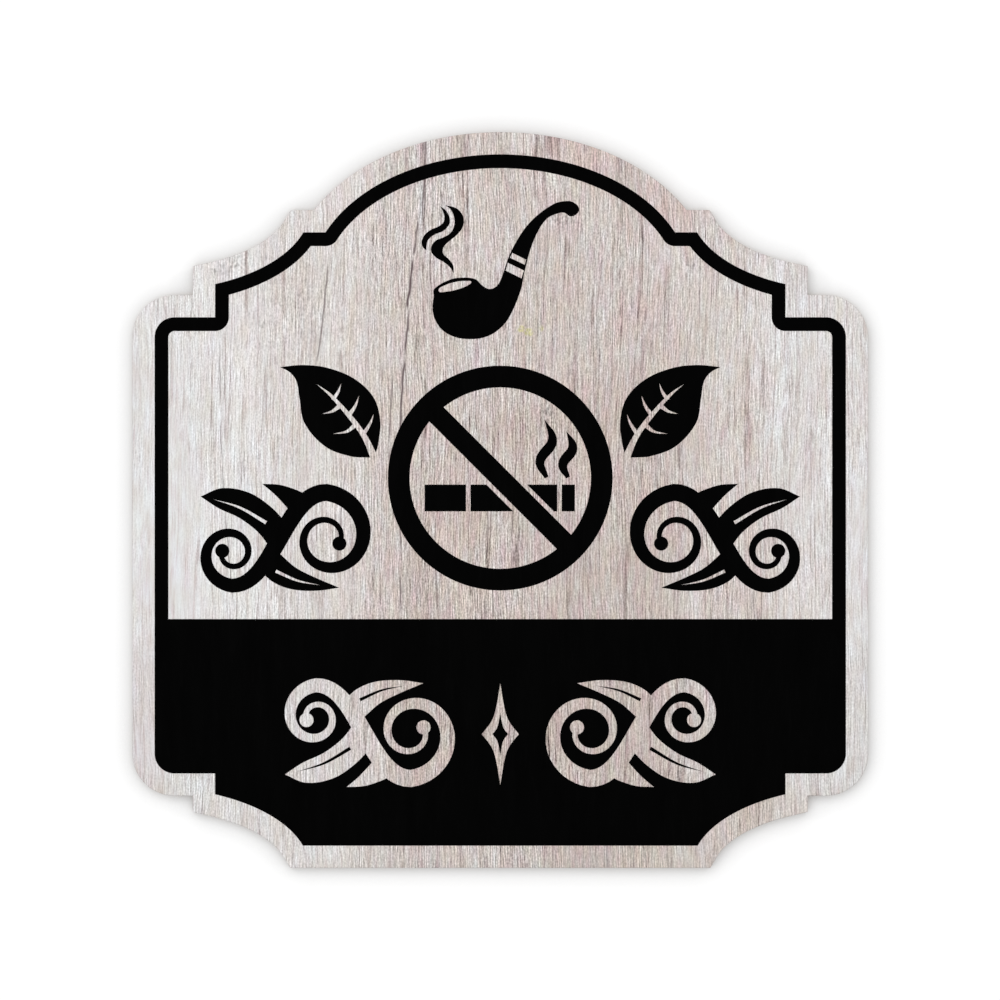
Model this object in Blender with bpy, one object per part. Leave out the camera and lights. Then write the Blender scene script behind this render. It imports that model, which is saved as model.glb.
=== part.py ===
"""Wall sign: one shaped board of whitewashed wood with flat black print on its front.

The board stands upright as it hangs: the printed front faces -Y, the plain back lies on the wall
plane Y = 0, and the origin is the middle of the back. Metres, +Z up.

The outline is drawn once, as the outer edge of the printed border line. The board's rim is that
outline moved outwards by the bare margin, and the wood window inside the line is the same outline
moved inwards by the width of the line. The print is a set of fields painted over each other, and the
front face is divided along their edges.
"""
import math

import bmesh
import bpy
from mathutils import Matrix, Vector, geometry

MM = 0.001

# Board
BOARD_WIDTH = 292.0 * MM
BOARD_HEIGHT = 292.0 * MM
BOARD_THICKNESS = 6.0 * MM
RIM_EASE = 0.4 * MM  # sanded rounding on the front and back edges

# Border line and the bare wood outside it
MARGIN = 8.85 * MM
LINE_WIDTH = 5.45 * MM
EAR_CORNER_RADIUS = 7.9 * MM  # the four rounded corners of the wide middle part

# Steps and scoops of the outline, from the side of the border line inwards and upwards
EAR_WIDTH = 24.0 * MM
UPPER_STEP_HEIGHT = 13.2 * MM
UPPER_SCOOP_WIDTH = 35.0 * MM
UPPER_SCOOP_HEIGHT = 20.5 * MM
SHELF_WIDTH = 8.8 * MM
ARCH_HEIGHT = 30.95 * MM
LOWER_STEP_HEIGHT = 8.3 * MM
LOWER_SCOOP_WIDTH = 34.8 * MM
LOWER_SCOOP_HEIGHT = 20.35 * MM

# Parts of an upright ellipse, as its parametric angles in degrees from +X, that give each curve its sweep
LOWER_CORNER_SWEEP = (-90.0, 0.0)
UPPER_CORNER_SWEEP = (0.0, 90.0)
ARCH_SWEEP = (23.9, 90.0)
UPPER_SCOOP_SWEEP = (247.7, 197.6)
LOWER_SCOOP_SWEEP = (164.2, 114.9)

# Print
BAND_HEIGHT = 89.9 * MM  # black lower band, from the bottom of the border line
PIPE_DROP = 73.3 * MM  # top of the arch, at the border line's outer edge, to the bottom of the bowl
PIPE_OFFSET = -26.9 * MM  # left side of the bowl from the centre line
PIPE_WIDTH = 58.2 * MM
LEAF_DROP = 118.3 * MM  # top of the arch to the foot of the leaves
LEAF_OFFSET = 49.3 * MM  # centre line to the foot of each leaf
LEAF_LENGTH = 51.0 * MM  # foot to tip

# Fineness of the curves
FACET_DEG = 2.5
CURVE_STEPS = 5
REAL_CORNER_DEG = 15.0  # a turn sharper than this is a corner and not a facet of a curve
CORNER_FACET_DEG = 7.5  # facets of the small round joins
SHARP_EDGE_DEG = 30.0
SAME_POINT = 0.0001 * MM

# Pipe silhouette drawn from the left side of its bowl across and from its bottom up, at any scale: the
# drawings of the pipe and of the leaf are brought to the width and the length named above
PIPE_OUTLINE = (
    (0.7, 19.9), (7.3, 23.7), (12.9, 24.4), (17.2, 23.7), (19.5, 21.5), (22.3, 19.9), (25.1, 20.7),
    (27.1, 23.6), (31.2, 34.8), (38.2, 45.8), (47.7, 53.4), (54.6, 54.8), (58.2, 51.6), (55.0, 48.8),
    (53.3, 49.7), (50.9, 50.3), (45.1, 47.5), (40.0, 38.7), (36.5, 26.7), (35.0, 19.3), (30.3, 8.4),
    (25.8, 3.4), (20.6, 0.7), (14.6, 0.0), (8.7, 0.9), (3.8, 3.7), (0.8, 8.3), (0.0, 12.9), (0.5, 16.8),
)
PIPE_MOUTH = ((2.4, 19.2), (5.5, 21.6), (10.3, 22.9), (13.7, 23.1), (15.4, 22.7), (13.6, 21.1), (10.2, 19.8),
              (6.0, 18.9))
PIPE_BANDS = (
    ((31.7, 34.2), (30.7, 32.3), (36.6, 29.5), (37.2, 31.5)),
    ((29.9, 30.3), (29.0, 27.2), (35.3, 24.1), (36.3, 27.2)),
)

# Smoke on the pipe's drawing: the right and the left edge of each wisp, from its top to its end
THIN_WISP = (
    ((2.9, 52.8), (5.5, 50.8), (6.9, 47.7), (6.5, 45.3), (4.4, 43.0), (0.9, 41.5), (-1.6, 39.5), (-2.3, 37.4),
     (-2.4, 35.2)),
    ((2.9, 52.8), (4.1, 50.8), (4.7, 48.6), (4.3, 46.3), (2.4, 44.7), (-0.4, 43.5), (-3.0, 41.5), (-4.3, 38.7),
     (-3.8, 36.5), (-2.4, 35.2)),
)
THICK_WISP = (
    ((5.1, 53.1), (8.9, 52.2), (11.3, 50.3), (12.4, 47.5), (11.9, 44.2), (9.6, 41.3), (6.2, 38.5), (4.5, 36.6),
     (4.2, 34.0), (6.4, 31.8), (8.2, 29.2), (8.4, 26.1)),
    ((5.1, 53.1), (7.1, 51.6), (8.4, 49.0), (8.7, 45.6), (7.4, 42.4), (4.4, 40.4), (1.3, 39.1), (-0.4, 36.8),
     (-0.3, 34.3), (1.6, 32.2), (4.6, 30.5), (7.2, 28.2), (8.4, 26.1)),
)

# Left leaf drawn from the foot of its right half: both edges from the tip, and the bare veins as stations
# of x, y and full width
LEAF_UPPER_EDGE = ((-38.1, 33.9), (-29.0, 34.7), (-19.3, 33.6), (-8.7, 29.3), (-1.0, 21.9), (1.7, 12.6),
                   (0.9, 3.5), (0.0, 0.0))
LEAF_LOWER_EDGE = ((-38.1, 33.9), (-34.3, 31.9), (-31.6, 28.4), (-30.4, 21.7), (-28.4, 11.7), (-20.2, 2.4),
                   (-10.2, -1.5), (-2.6, -2.0))
MIDRIB = ((-23.7, 27.2, 0.0), (-18.2, 22.9, 1.1), (-9.5, 13.2, 1.9), (-4.3, 5.8, 2.2), (-0.5, -2.6, 3.1))
SIDE_VEINS = (
    ((-17.2, 20.9, 1.6), (-15.0, 24.1, 1.0), (-13.8, 27.5, 0.0)),
    ((-10.9, 14.6, 1.8), (-8.3, 18.4, 1.1), (-6.7, 22.6, 0.0)),
    ((-4.9, 7.4, 1.6), (-2.3, 11.6, 1.0), (-0.9, 15.3, 0.0)),
    ((-14.6, 18.3, 1.8), (-17.5, 16.3, 1.0), (-21.4, 15.3, 0.0)),
    ((-8.6, 10.6, 1.8), (-11.7, 8.3, 1.0), (-17.2, 7.4, 0.0)),
)

WOOD, INK = 0, 1  # material slots of the board


def clear_scene():
    for item in list(bpy.data.objects):
        bpy.data.objects.remove(item, do_unlink=True)


def make_material(name, colour, roughness, metallic=0.0):
    material = bpy.data.materials.new(name)
    material.use_nodes = True
    shader = material.node_tree.nodes["Principled BSDF"]
    shader.inputs["Base Color"].default_value = (*colour, 1.0)
    shader.inputs["Roughness"].default_value = roughness
    shader.inputs["Metallic"].default_value = metallic
    return material


def mirrored(path):
    """The same closed path on the other side of the centre line, still running anticlockwise."""
    return [Vector((-point.x, point.y)) for point in reversed(path)]


def ellipse_arc(start, end, sweep):
    """Points from start to end along the part of an upright ellipse between two parametric angles."""
    first, last = (math.radians(angle) for angle in sweep)
    facets = max(2, round(abs(sweep[1] - sweep[0]) / FACET_DEG))
    across = (end.x - start.x) / (math.cos(last) - math.cos(first))
    up = (end.y - start.y) / (math.sin(last) - math.sin(first))
    points = []
    for step in range(facets + 1):
        angle = first + (last - first) * step / facets
        offset = Vector((across * (math.cos(angle) - math.cos(first)), up * (math.sin(angle) - math.sin(first))))
        points.append(start + offset)
    return points


def border_path():
    """Outer edge of the border line, anticlockwise seen from the front, from the foot up the right side."""
    half_width = BOARD_WIDTH / 2 - MARGIN
    half_height = BOARD_HEIGHT / 2 - MARGIN
    step_x = half_width - EAR_WIDTH
    shelf_x = step_x - UPPER_SCOOP_WIDTH
    foot_x = step_x - LOWER_SCOOP_WIDTH
    shelf_z = half_height - ARCH_HEIGHT
    upper_step_z = shelf_z - UPPER_SCOOP_HEIGHT
    ear_top = upper_step_z - UPPER_STEP_HEIGHT
    lower_step_z = LOWER_SCOOP_HEIGHT - half_height
    ear_bottom = lower_step_z + LOWER_STEP_HEIGHT

    right = ellipse_arc(Vector((foot_x, -half_height)), Vector((step_x, lower_step_z)), LOWER_SCOOP_SWEEP)
    right.append(Vector((step_x, ear_bottom)))
    right += ellipse_arc(
        Vector((half_width - EAR_CORNER_RADIUS, ear_bottom)),
        Vector((half_width, ear_bottom + EAR_CORNER_RADIUS)),
        LOWER_CORNER_SWEEP,
    )
    right += ellipse_arc(
        Vector((half_width, ear_top - EAR_CORNER_RADIUS)),
        Vector((half_width - EAR_CORNER_RADIUS, ear_top)),
        UPPER_CORNER_SWEEP,
    )
    right.append(Vector((step_x, ear_top)))
    right += ellipse_arc(Vector((step_x, upper_step_z)), Vector((shelf_x, shelf_z)), UPPER_SCOOP_SWEEP)
    right += ellipse_arc(Vector((shelf_x - SHELF_WIDTH, shelf_z)), Vector((0.0, half_height)), ARCH_SWEEP)
    return right + mirrored(right[:-1])


def outward(start, end):
    """Unit normal on the right of the way from start to end, which is the outside of these paths."""
    way = (end - start).normalized()
    return Vector((way.y, -way.x))


def corners(path):
    """Each point of a closed path with the outward normals before and after it, and its turn in degrees."""
    for before, here, after in zip(path[-1:] + path[:-1], path, path[1:] + path[:1]):
        arriving, leaving = outward(before, here), outward(here, after)
        turn = math.degrees(math.atan2(arriving.cross(leaving), arriving.dot(leaving)))
        yield here, arriving, leaving, turn


def mitre(arriving, leaving):
    """The way from a corner to the meeting point of its two sides once each has moved by one."""
    return (arriving + leaving) / (1.0 + arriving.dot(leaving))


def swing(arriving, turn):
    """Directions that turn from arriving through an angle in degrees."""
    facets = max(2, round(abs(turn) / CORNER_FACET_DEG))
    for step in range(facets + 1):
        swung = arriving.copy()
        swung.rotate(Matrix.Rotation(math.radians(turn) * step / facets, 2))
        yield swung


def without_loops(path):
    """A closed path that jumps from each crossing with itself to the way out of the loop."""
    count = len(path)
    longest_loop = count // 4
    cut, index = [], 0
    while index < count:
        cut.append(path[index])
        following = index + 1
        for ahead in range(index + longest_loop, index + 1, -1):
            steps = path[index], path[following % count], path[ahead % count], path[(ahead + 1) % count]
            crossing = geometry.intersect_line_line_2d(*steps)
            if crossing is not None:
                cut.append(crossing)
                following = ahead + 1
                break
        index = following
    return cut


def parallel(path, distance, round_inner_corners=False):
    """A closed path moved outwards by distance, or inwards where it is negative.

    Where the sides of a corner move apart they are mitred, or with round_inner_corners join on an arc
    about the corner. Where they move over each other they are left crossing, and the loop is cut off.
    """
    moved = []
    for here, arriving, leaving, turn in corners(path):
        if abs(turn) < REAL_CORNER_DEG:
            moved.append(here + mitre(arriving, leaving) * distance)
        elif turn * distance < 0.0:
            moved += [here + arriving * distance, here + leaving * distance]
        elif round_inner_corners:
            moved += [here + swung * distance for swung in swing(arriving, turn)]
        else:
            moved.append(here + mitre(arriving, leaving) * distance)
    return without_loops(moved)


def shrunk(path, distance):
    """A closed path moved inwards by a small distance, point by point."""
    return [here - mitre(arriving, leaving) * distance for here, arriving, leaving, _ in corners(path)]


def flowing(points, closed=True):
    """A smooth curve through the points, as short straight steps."""
    count = len(points)
    spans = count if closed else count - 1
    curve = []
    for span in range(spans):
        start, end = points[span], points[(span + 1) % count]
        reach = (end - start).length / 3
        leaving = end - points[span - 1] if closed or span > 0 else end - start
        beyond = points[(span + 2) % count] if closed or span + 2 < count else end
        arriving = beyond - start
        handles = start + leaving.normalized() * reach, end - arriving.normalized() * reach
        curve += geometry.interpolate_bezier(start, *handles, end, CURVE_STEPS + 1)[:-1]
    return curve if closed else curve + [points[-1]]


def between(edge, other_edge):
    """Outline of a shape that starts at one tip and lies between two flowing edges."""
    way_out, way_back = (flowing([Vector(point) for point in side], closed=False) for side in (edge, other_edge))
    return way_out + [point for point in reversed(way_back[1:]) if point != way_out[-1]]


def stroke(stations):
    """Outline of a brush stroke that follows stations of x, y and full width, and ends in a point at zero."""
    middle = flowing([Vector((x, y, width)) for x, y, width in stations], closed=False)
    left, right = [], []
    for index, here in enumerate(middle):
        before, after = middle[max(index - 1, 0)], middle[min(index + 1, len(middle) - 1)]
        side = outward(before.xy, after.xy) * here.z / 2
        right.append(here.xy + side)
        if here.z > 0.0:
            left.append(here.xy - side)
    return right + left[::-1]


def placed(outline, corner, unit):
    """A drawn outline brought to its scale and its place on the board."""
    return [corner + Vector(point) * unit for point in outline]


def pipe_fields(arch_top):
    """The pipe and its two wisps of smoke, with the bowl's mouth and the stem's two bands left bare."""
    corner = Vector((PIPE_OFFSET, arch_top - PIPE_DROP))
    unit = PIPE_WIDTH / max(x for x, _ in PIPE_OUTLINE)
    fields = [(flowing([Vector(point) for point in PIPE_OUTLINE]), INK)]
    fields.append((flowing([Vector(point) for point in PIPE_MOUTH]), WOOD))
    fields += [(band, WOOD) for band in PIPE_BANDS]
    fields += [(between(*wisp), INK) for wisp in (THIN_WISP, THICK_WISP)]
    return [(placed(outline, corner, unit), colour) for outline, colour in fields]


def leaf_fields(arch_top):
    """Two mirrored leaves with bare veins."""
    corner = Vector((-LEAF_OFFSET, arch_top - LEAF_DROP))
    tip, foot = Vector(LEAF_UPPER_EDGE[0]), Vector(LEAF_UPPER_EDGE[-1])
    unit = LEAF_LENGTH / (tip - foot).length
    fields = [(between(LEAF_UPPER_EDGE, LEAF_LOWER_EDGE), INK)]
    fields += [(stroke(vein), WOOD) for vein in (MIDRIB, *SIDE_VEINS)]
    left = [(placed(outline, corner, unit), colour) for outline, colour in fields]
    return left + [(mirrored(outline), colour) for outline, colour in left]


def printed_fields(border):
    """Every field of the front face in the order of painting, each with its material slot."""
    arch_top = max(point.y for point in border)
    band_top = min(point.y for point in border) + BAND_HEIGHT
    inside = parallel(border, -LINE_WIDTH, round_inner_corners=True)
    side = max(point.x for point in inside)
    window = [Vector((side, band_top))]
    window += [point for point in inside if point.y > band_top]
    window.append(Vector((-side, band_top)))
    return [(border, INK), (window, WOOD)] + pipe_fields(arch_top) + leaf_fields(arch_top)


def anticlockwise(outline):
    """The same closed outline, turned round where it runs clockwise."""
    turning = sum(start.cross(end) for start, end in zip(outline, outline[1:] + outline[:1]))
    return outline if turning > 0.0 else outline[::-1]


def divided_face(rim, fields):
    """The rim's inside as triangles that follow every field's edge.

    Gives the points, the triangles, each triangle's slot, and the place of each rim point among the points.
    """
    points, outlines = [], []
    for outline in (rim, *(anticlockwise(field) for field, _ in fields)):
        outlines.append(list(range(len(points), len(points) + len(outline))))
        points += outline
    flat, _, triangles, made_from, _, covered_by = geometry.delaunay_2d_cdt(points, [], outlines, 1, SAME_POINT)
    slots = [WOOD] + [slot for _, slot in fields]
    painted = [slots[max(layers)] for layers in covered_by]
    place = {source: index for index, sources in enumerate(made_from) for source in sources}
    return flat, triangles, painted, [place[index] for index in range(len(rim))]


def build_board():
    """The board as one closed solid: divided front, rounded rims, straight edge and plain back."""
    rounding = RIM_EASE * (1.0 - math.sqrt(0.5))  # how far the middle of the eased edge lies from each face
    border = border_path()
    outline = parallel(border, MARGIN)
    halfway = shrunk(outline, rounding)
    eased = shrunk(outline, RIM_EASE)
    flat, triangles, painted, rim_places = divided_face(eased, printed_fields(border))

    shape = bmesh.new()
    front = [shape.verts.new((point.x, -BOARD_THICKNESS, point.y)) for point in flat]
    for triangle, slot in zip(triangles, painted):
        shape.faces.new([front[index] for index in triangle]).material_index = slot

    rings = [[front[index] for index in rim_places]]
    edge_profile = (
        (halfway, -BOARD_THICKNESS + rounding),
        (outline, -BOARD_THICKNESS + RIM_EASE),
        (outline, -RIM_EASE),
        (halfway, -rounding),
        (eased, 0.0),
    )
    for path, depth in edge_profile:
        rings.append([shape.verts.new((point.x, depth, point.y)) for point in path])
    for ring, following in zip(rings, rings[1:]):
        for index in range(len(ring)):
            shape.faces.new((ring[index - 1], ring[index], following[index], following[index - 1]))
    shape.faces.new(rings[-1])
    bmesh.ops.recalc_face_normals(shape, faces=shape.faces)

    mesh = bpy.data.meshes.new("sign_board")
    shape.to_mesh(mesh)
    shape.free()
    mesh.shade_smooth()
    mesh.set_sharp_from_angle(angle=math.radians(SHARP_EDGE_DEG))
    mesh.materials.append(make_material("whitewashed_wood", (0.62, 0.58, 0.55), 0.7))
    mesh.materials.append(make_material("black_print", (0.004, 0.004, 0.004), 0.5))
    board = bpy.data.objects.new("sign_board", mesh)
    bpy.context.scene.collection.objects.link(board)
    return board


clear_scene()
build_board()
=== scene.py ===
# %% [markdown]
# # A whitewashed wooden sign, printed in black
#
# The real thing is one board about as thick as a pencil, cut to a stepped and arched outline, brushed
# with a thin white wash and printed with flat black ink. Seen from a step away it is two things only:
# pale wood with a fine upright grain, and ink with crisp edges. So this lesson spends its time on those
# two. The board's size and place come from the finished model that is loaded here as a fixed frame, and
# everything below is drawn around it, in metres, with +Z up and the print facing -Y.

# %% Load the board
import math

import bmesh
import bpy
from mathutils import Matrix, Vector, geometry


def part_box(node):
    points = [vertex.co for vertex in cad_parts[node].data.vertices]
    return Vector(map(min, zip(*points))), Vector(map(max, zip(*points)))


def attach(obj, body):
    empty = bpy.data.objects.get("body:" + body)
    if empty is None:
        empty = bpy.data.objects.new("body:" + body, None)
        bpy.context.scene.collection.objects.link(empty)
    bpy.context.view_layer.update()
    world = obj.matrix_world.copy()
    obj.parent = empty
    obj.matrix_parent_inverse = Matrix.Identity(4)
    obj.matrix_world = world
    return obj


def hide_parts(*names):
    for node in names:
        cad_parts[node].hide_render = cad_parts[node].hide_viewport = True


MM = 0.001

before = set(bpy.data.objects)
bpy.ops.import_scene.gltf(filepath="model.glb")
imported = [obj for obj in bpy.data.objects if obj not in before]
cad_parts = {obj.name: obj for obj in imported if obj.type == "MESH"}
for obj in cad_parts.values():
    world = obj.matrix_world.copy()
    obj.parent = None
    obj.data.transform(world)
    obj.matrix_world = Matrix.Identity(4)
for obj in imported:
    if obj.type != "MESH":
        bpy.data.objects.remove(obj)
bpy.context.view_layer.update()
low, high = (Vector(corner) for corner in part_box("sign_board"))
BOARD_WIDTH = high.x - low.x
BOARD_HEIGHT = high.z - low.z
BOARD_THICKNESS = high.y - low.y
INK_PROUD = 0.06 * MM
INK_FRONT = low.y
WOOD_FRONT = low.y + INK_PROUD
BOARD_BACK = high.y
print(f"board {BOARD_WIDTH / MM:.1f} x {BOARD_HEIGHT / MM:.1f} mm, {BOARD_THICKNESS / MM:.1f} mm thick")

# %% [markdown]
# ## The outline
#
# A sign maker draws the outline once, as the outer edge of the black line, and finds the rim of the board
# and the inside of the line from it with a marking gauge. The same is done here: one path, and others
# that run parallel to it. Each curve is a part of an ellipse, so it is given by its two ends and by the
# angles that it sweeps, and not by a string of points.

# %% Sizes of the outline
MARGIN = 8.85 * MM
LINE_WIDTH = 5.45 * MM
EAR_CORNER_RADIUS = 7.9 * MM
EAR_WIDTH = 24.0 * MM
UPPER_STEP_HEIGHT = 13.2 * MM
UPPER_SCOOP_WIDTH = 35.0 * MM
UPPER_SCOOP_HEIGHT = 20.5 * MM
SHELF_WIDTH = 8.8 * MM
ARCH_HEIGHT = 30.95 * MM
LOWER_STEP_HEIGHT = 8.3 * MM
LOWER_SCOOP_WIDTH = 34.8 * MM
LOWER_SCOOP_HEIGHT = 20.35 * MM

LOWER_CORNER_SWEEP = (-90.0, 0.0)
UPPER_CORNER_SWEEP = (0.0, 90.0)
ARCH_SWEEP = (23.9, 90.0)
UPPER_SCOOP_SWEEP = (247.7, 197.6)
LOWER_SCOOP_SWEEP = (164.2, 114.9)

FACET_DEG = 1.25
CORNER_FACET_DEG = 5.0
REAL_CORNER_DEG = 15.0  # a turn sharper than this is a corner and not a facet of a curve


# %% Draw half of the outline and mirror it
def mirrored(path):
    """The same closed path on the other side of the centre line, still running anticlockwise."""
    return [Vector((-point.x, point.y)) for point in reversed(path)]


def ellipse_arc(start, end, sweep):
    """Points from start to end along the part of an upright ellipse between two parametric angles."""
    first, last = (math.radians(angle) for angle in sweep)
    facets = max(2, round(abs(sweep[1] - sweep[0]) / FACET_DEG))
    across = (end.x - start.x) / (math.cos(last) - math.cos(first))
    up = (end.y - start.y) / (math.sin(last) - math.sin(first))
    points = []
    for step in range(facets + 1):
        angle = first + (last - first) * step / facets
        rise = math.sin(angle) - math.sin(first)
        points.append(start + Vector((across * (math.cos(angle) - math.cos(first)), up * rise)))
    return points


def border_path():
    """Outer edge of the black line, anticlockwise seen from the front, from the foot up the right side."""
    half_width = BOARD_WIDTH / 2 - MARGIN
    half_height = BOARD_HEIGHT / 2 - MARGIN
    step_x = half_width - EAR_WIDTH
    shelf_x = step_x - UPPER_SCOOP_WIDTH
    foot_x = step_x - LOWER_SCOOP_WIDTH
    shelf_z = half_height - ARCH_HEIGHT
    upper_step_z = shelf_z - UPPER_SCOOP_HEIGHT
    ear_top = upper_step_z - UPPER_STEP_HEIGHT
    lower_step_z = LOWER_SCOOP_HEIGHT - half_height
    ear_bottom = lower_step_z + LOWER_STEP_HEIGHT

    right = ellipse_arc(Vector((foot_x, -half_height)), Vector((step_x, lower_step_z)), LOWER_SCOOP_SWEEP)
    right.append(Vector((step_x, ear_bottom)))
    right += ellipse_arc(
        Vector((half_width - EAR_CORNER_RADIUS, ear_bottom)),
        Vector((half_width, ear_bottom + EAR_CORNER_RADIUS)),
        LOWER_CORNER_SWEEP,
    )
    right += ellipse_arc(
        Vector((half_width, ear_top - EAR_CORNER_RADIUS)),
        Vector((half_width - EAR_CORNER_RADIUS, ear_top)),
        UPPER_CORNER_SWEEP,
    )
    right.append(Vector((step_x, ear_top)))
    right += ellipse_arc(Vector((step_x, upper_step_z)), Vector((shelf_x, shelf_z)), UPPER_SCOOP_SWEEP)
    right += ellipse_arc(Vector((shelf_x - SHELF_WIDTH, shelf_z)), Vector((0.0, half_height)), ARCH_SWEEP)
    return right + mirrored(right[:-1])


border = border_path()
print("outline drawn with", len(border), "points")

# %% [markdown]
# ## Parallel paths
#
# A path moved sideways needs care at its corners. Where two sides move apart, the gap is closed with a
# sharp mitre or with a small arc, and where they move over each other, the loop that forms is cut off.
# The rim keeps sharp corners, as a saw leaves them, and the inside of the black line has the round ones
# that show in its print.


# %% Move a path sideways
def outward(start, end):
    """Unit normal on the right of the way from start to end, which is the outside of these paths."""
    way = (end - start).normalized()
    return Vector((way.y, -way.x))


def corners(path):
    """Each point of a closed path with the outward normals before and after it, and its turn in degrees."""
    for before, here, after in zip(path[-1:] + path[:-1], path, path[1:] + path[:1]):
        arriving, leaving = outward(before, here), outward(here, after)
        turn = math.degrees(math.atan2(arriving.cross(leaving), arriving.dot(leaving)))
        yield here, arriving, leaving, turn


def mitre(arriving, leaving):
    """The way from a corner to the meeting point of its two sides once each has moved by one."""
    return (arriving + leaving) / (1.0 + arriving.dot(leaving))


def swing(arriving, turn):
    """Directions that turn from arriving through an angle in degrees."""
    facets = max(2, round(abs(turn) / CORNER_FACET_DEG))
    for step in range(facets + 1):
        swung = arriving.copy()
        swung.rotate(Matrix.Rotation(math.radians(turn) * step / facets, 2))
        yield swung


def without_loops(path):
    """A closed path that jumps from each crossing with itself to the way out of the loop."""
    count = len(path)
    longest_loop = count // 4
    cut, index = [], 0
    while index < count:
        cut.append(path[index])
        following = index + 1
        for ahead in range(index + longest_loop, index + 1, -1):
            steps = path[index], path[following % count], path[ahead % count], path[(ahead + 1) % count]
            crossing = geometry.intersect_line_line_2d(*steps)
            if crossing is not None:
                cut.append(crossing)
                following = ahead + 1
                break
        index = following
    return cut


def parallel(path, distance, round_inner_corners=False):
    """A closed path moved outwards by distance, or inwards where it is negative."""
    moved = []
    for here, arriving, leaving, turn in corners(path):
        is_corner = abs(turn) >= REAL_CORNER_DEG
        if is_corner and turn * distance < 0.0:
            moved += [here + arriving * distance, here + leaving * distance]
        elif is_corner and round_inner_corners:
            moved += [here + swung * distance for swung in swing(arriving, turn)]
        else:
            moved.append(here + mitre(arriving, leaving) * distance)
    return without_loops(moved)


def shrunk(path, distance):
    """A closed path moved inwards by a small distance, point by point."""
    return [here - mitre(arriving, leaving) * distance for here, arriving, leaving, _ in corners(path)]


rim = parallel(border, MARGIN)
line_inside = parallel(border, -LINE_WIDTH, round_inner_corners=True)
print("rim has", len(rim), "points and the inside of the line has", len(line_inside))

# %% [markdown]
# ## Paint fields over each other
#
# Print is made of flat fields: a black shape, a bare shape on top of it, a black one on top of that. A
# constrained triangulation takes all the outlines at once and says which of them cover each triangle, so
# the topmost one decides whether it is ink or bare wood. What is left is a flat sheet of triangles with
# exact edges, which can be given a thickness. It takes the inside of an outline to be on the left of the
# way round it, so each outline is first made to run anticlockwise.

# %% From outlines to triangles
BARE, INK = 0, 1
SAME_POINT = 0.0001 * MM


def anticlockwise(outline):
    """The same outline, turned round if it runs clockwise."""
    twice_its_area = sum(here.cross(there) for here, there in zip(outline, outline[1:] + outline[:1]))
    return outline if twice_its_area > 0.0 else outline[::-1]


def inked_triangles(fields):
    """Points and triangles of what stays inked once every field is painted over the ones before it."""
    points, outlines = [], []
    for outline, _ in fields:
        outlines.append(list(range(len(points), len(points) + len(outline))))
        points += anticlockwise(outline)
    flat, _, triangles, _, _, covered_by = geometry.delaunay_2d_cdt(points, [], outlines, 1, SAME_POINT)
    colours = [colour for _, colour in fields]
    topmost = [colours[max(layers)] if layers else BARE for layers in covered_by]
    return flat, [triangle for triangle, colour in zip(triangles, topmost) if colour == INK]


def add_object(name, shape):
    """Turns a finished bmesh into an object of that name in the scene."""
    mesh = bpy.data.meshes.new(name)
    shape.to_mesh(mesh)
    shape.free()
    piece = bpy.data.objects.new(name, mesh)
    bpy.context.scene.collection.objects.link(piece)
    return piece


# %% [markdown]
# ## The board
#
# The real board is sawn to its outline and its edges are broken with sandpaper. It is built the same way:
# a flat front and a flat back, and between them rings that follow a quarter circle, go straight through
# the thickness and round the other edge. The two faces are shaded flat and the rounding is shaded smooth,
# so that light rolls over the edge and the front stays an even plane.

# %% Build the board
RIM_EASE = 0.4 * MM
EASE_STEPS = 6
SHARP_EDGE_DEG = 30.0


def eased_profile():
    """How far in, and at what depth, each ring of the rim lies, from the front face to the back face."""
    angles = [math.radians(90.0 * step / EASE_STEPS) for step in range(EASE_STEPS + 1)]
    eased = [(RIM_EASE * (1 - math.sin(angle)), RIM_EASE * (1 - math.cos(angle))) for angle in angles]
    front = [(inset, WOOD_FRONT + depth) for inset, depth in eased]
    back = [(inset, BOARD_BACK - depth) for inset, depth in reversed(eased)]
    return front + back


def build_board():
    """The board as one closed solid with flat faces and rounded edges."""
    shape = bmesh.new()
    rings = []
    for inset, depth in eased_profile():
        path = shrunk(rim, inset) if inset > SAME_POINT else rim
        rings.append([shape.verts.new((point.x, depth, point.y)) for point in path])
    for ring, following in zip(rings, rings[1:]):
        for index in range(len(ring)):
            face = shape.faces.new((ring[index - 1], ring[index], following[index], following[index - 1]))
            face.smooth = True
    outline = shrunk(rim, RIM_EASE)
    _, triangles = inked_triangles([(outline, INK)])
    for triangle in triangles:
        shape.faces.new([rings[0][index] for index in triangle]).smooth = False
        shape.faces.new([rings[-1][index] for index in reversed(triangle)]).smooth = False
    bmesh.ops.recalc_face_normals(shape, faces=shape.faces)
    board = add_object("board", shape)
    board.data.set_sharp_from_angle(angle=math.radians(SHARP_EDGE_DEG))
    return board


board = build_board()
print("board:", len(board.data.polygons), "faces")

# %% [markdown]
# ## Curves for the print
#
# The drawings on the sign are brush shapes: outlines through a few chosen points, slivers between two
# flowing edges, strokes that swell and taper, and scrolls that wind up. Each kind has one function.

# %% Flowing lines, slivers and strokes
CURVE_STEPS = 8


def flowing(points, closed=True):
    """A smooth curve through the points, as short straight steps."""
    points = [Vector(point) for point in points]
    count = len(points)
    spans = count if closed else count - 1
    curve = []
    for span in range(spans):
        start, end = points[span], points[(span + 1) % count]
        reach = (end - start).length / 3
        leaving = end - points[span - 1] if closed or span > 0 else end - start
        beyond = points[(span + 2) % count] if closed or span + 2 < count else end
        arriving = beyond - start
        handles = start + leaving.normalized() * reach, end - arriving.normalized() * reach
        curve += geometry.interpolate_bezier(start, *handles, end, CURVE_STEPS + 1)[:-1]
    return curve if closed else curve + [points[-1]]


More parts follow.
